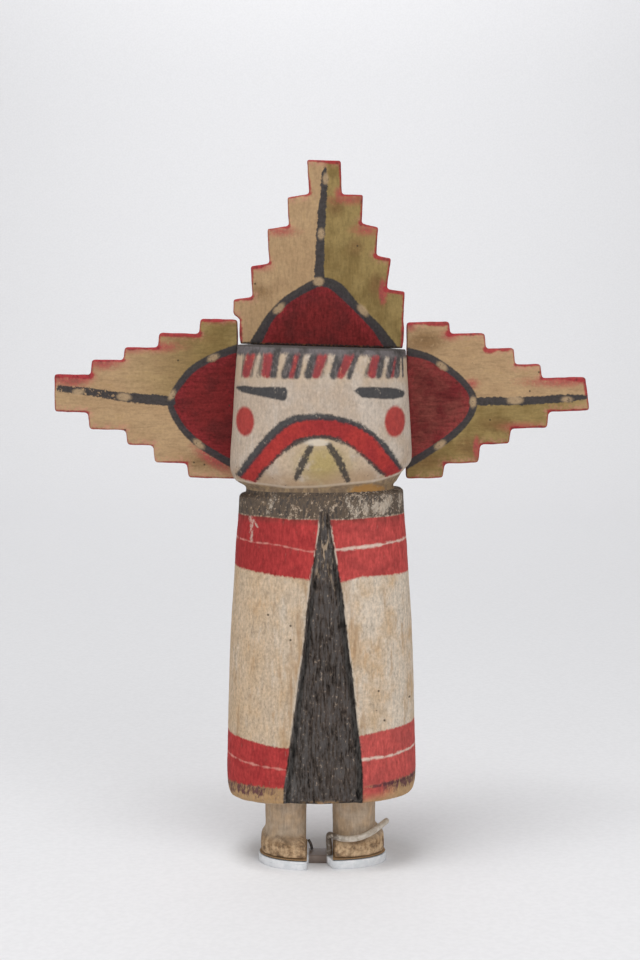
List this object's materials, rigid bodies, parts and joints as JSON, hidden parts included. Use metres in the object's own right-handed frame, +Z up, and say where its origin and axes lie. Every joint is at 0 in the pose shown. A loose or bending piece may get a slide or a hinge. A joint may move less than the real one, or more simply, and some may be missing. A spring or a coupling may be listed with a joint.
{
  "type": "kachina doll",
  "caption": "Carved and painted wooden kachina doll: oval body, block head with a stepped board headdress, on a small metal stand that clips its ankles.",
  "frame": {"origin": "on the underside of the stand, at the middle of the doll's width and depth", "axes": "+Z up, the face looks along -Y, the headdress spreads along X, with the doll's own right hand at -X"},
  "size_m": [0.1932, 0.0423, 0.2528],
  "materials": {
    "figure_paint": "chalky cream, red and black earth paint over bare carved wood, worn",
    "board_paint": "thin matt paint over bare wood: tan, olive, dark red and black, with red edges",
    "stand_metal": "sawn and brushed edge, dull top",
    "felt": "thin dark felt",
    "clip_metal": "dark oxidised rod",
    "clip_sleeve": "milky clear tubing"
  },
  "bodies": {
    "root": {"figure": "figure_paint", "tableta_top": "board_paint", "tableta_left": "board_paint", "tableta_right": "board_paint", "stand_plate": "stand_metal", "felt_left": "felt", "felt_right": "felt", "ankle_clip_left": "clip_metal", "ankle_clip_right": "clip_metal", "clip_sleeve_right": "clip_sleeve"}
  },
  "joints": []
}
